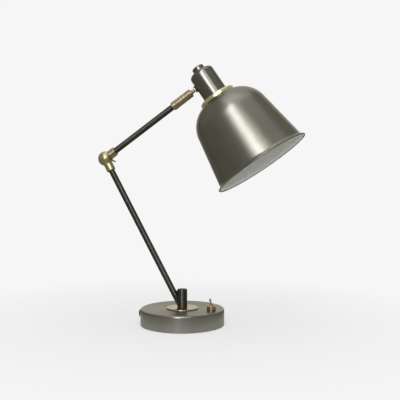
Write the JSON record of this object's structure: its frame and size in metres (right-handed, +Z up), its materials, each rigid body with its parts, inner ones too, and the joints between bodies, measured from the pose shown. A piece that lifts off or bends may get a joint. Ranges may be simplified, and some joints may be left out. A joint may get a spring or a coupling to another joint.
{
  "type": "desk lamp",
  "caption": "Desk lamp with a round weighted base, a hinged lower arm, a clamped ball elbow, an upper arm and a spun dome shade that swivels and tilts.",
  "frame": {"origin": "centre of the felt pad's underside, where the base stands on the table", "axes": "+Z up, +X from the base's centre to the lamp's front, where the switch is and the shade hangs, +Y to the side of the wing screw"},
  "size_m": [0.4172, 0.1946, 0.508],
  "materials": {
    "gunmetal_shell": "satin brushed",
    "gunmetal_tube": "polished",
    "gunmetal_spun": "satin brushed",
    "iron": "rough",
    "zinc_steel": "zinc plated",
    "brass": "satin",
    "bright_brass": "plain",
    "nickel": "polished",
    "black_plastic": "matte",
    "white_plastic": "matte",
    "felt": "felt"
  },
  "bodies": {
    "base": {"base_shell": "gunmetal_shell", "base_weight": "iron", "base_plate": "zinc_steel", "plate_screws": "zinc_steel", "felt_pad": "felt", "rosette": "brass", "post": "gunmetal_tube", "pivot_screw": "zinc_steel", "post_washer": "zinc_steel", "post_nut": "zinc_steel", "switch_body": "black_plastic", "switch_bushing": "brass", "switch_nut": "brass", "cord_gland": "black_plastic", "gland_nut": "zinc_steel", "connector_block": "white_plastic"},
    "lower_arm": {"foot_rod": "gunmetal_tube", "lower_tube": "gunmetal_tube", "elbow_ball": "brass", "elbow_washers": "zinc_steel", "wing_washer": "zinc_steel"},
    "wing_screw": {"wing_screw": "gunmetal_tube"},
    "upper_arm": {"elbow_tongue": "gunmetal_tube", "elbow_ferrule": "brass", "upper_tube": "gunmetal_tube", "head_sleeve": "brass", "sleeve_screw": "zinc_steel"},
    "swivel": {"swivel_fork": "nickel", "swivel_clip": "zinc_steel", "knuckle_pin": "zinc_steel"},
    "head": {"head_stud": "zinc_steel", "stud_nut": "nickel", "saddle_washer": "black_plastic", "inner_nut": "zinc_steel", "neck_cup": "gunmetal_spun", "cap_knob": "gunmetal_spun", "holder_stem": "zinc_steel", "shade_collar": "brass", "shade": "gunmetal_spun", "lampholder": "black_plastic", "thread_shell": "bright_brass", "lamp_contact": "bright_brass", "clamp_ring": "black_plastic"},
    "switch_lever": {"switch_lever": "nickel"}
  },
  "joints": [
    {"name": "lower_arm_tilt", "type": "hinge", "parent": "base", "child": "lower_arm", "pos_m": [-0.0063, 0, 0.0425], "axis": [0, 1, 0], "range_deg": [-35, 0]},
    {"name": "elbow_fold", "type": "hinge", "parent": "lower_arm", "child": "upper_arm", "pos_m": [-0.16258, 0, 0.32677], "axis": [0, 1, 0], "range_deg": [-65, 23]},
    {"name": "wing_screw_turn", "type": "hinge", "parent": "lower_arm", "child": "wing_screw", "pos_m": [-0.16258, 0, 0.32677], "axis": [0, 1, 0], "continuous": true},
    {"name": "head_swivel", "type": "hinge", "parent": "upper_arm", "child": "swivel", "pos_m": [0.02304, 0, 0.45675], "axis": [0.8192, 0, 0.5736], "range_deg": [-160, 160]},
    {"name": "head_tilt", "type": "hinge", "parent": "swivel", "child": "head", "pos_m": [0.02304, 0, 0.45675], "axis": [0, -1, 0], "range_deg": [-40, 45]},
    {"name": "switch_throw", "type": "hinge", "parent": "base", "child": "switch_lever", "pos_m": [0.0596, 0, 0.0393], "axis": [0, 1, 0], "range_deg": [0, 20]}
  ]
}
